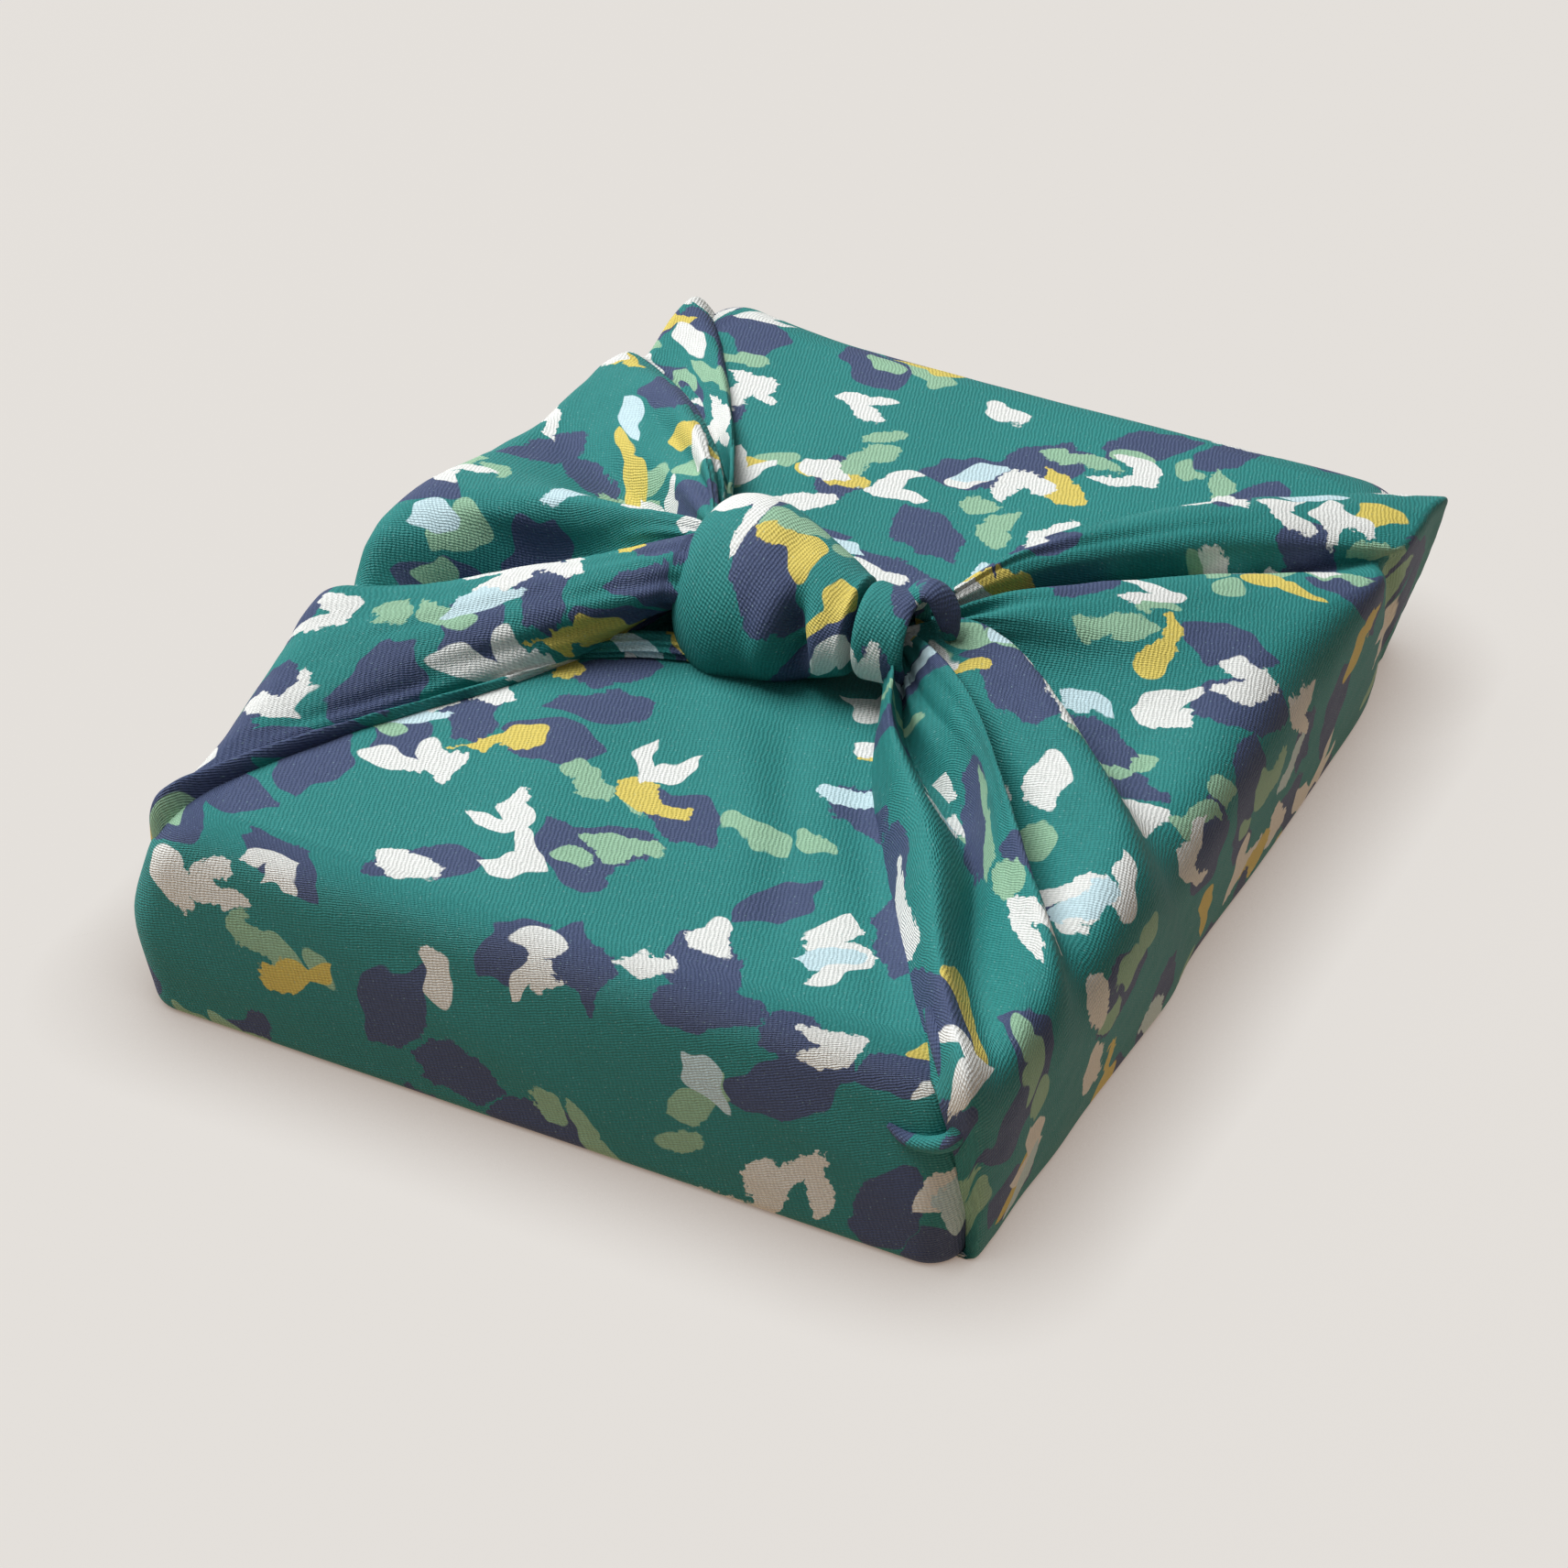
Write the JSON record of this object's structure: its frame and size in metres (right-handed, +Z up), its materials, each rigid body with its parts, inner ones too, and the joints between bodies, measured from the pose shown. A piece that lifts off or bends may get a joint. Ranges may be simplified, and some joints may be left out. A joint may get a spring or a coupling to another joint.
{
  "type": "furoshiki wrap",
  "caption": "Square printed cloth folded around a flat box and tied across its top in a knot, with gathered pleats fanning to both sides and its ends tucked in.",
  "frame": {"origin": "middle of the outline at the underside, on the surface that the wrap rests on", "axes": "+X along the tie, from the left bundle through the knot to the right bundle; +Y from the long front side with the smooth flap to the back; +Z up"},
  "size_m": [0.2873, 0.3747, 0.1069],
  "materials": {
    "printed_cotton": "matt cotton twill, deep green ground with a print in pale blue, sage, navy, white and yellow"
  },
  "bodies": {
    "root": {"furoshiki_wrap": "printed_cotton"}
  },
  "joints": []
}
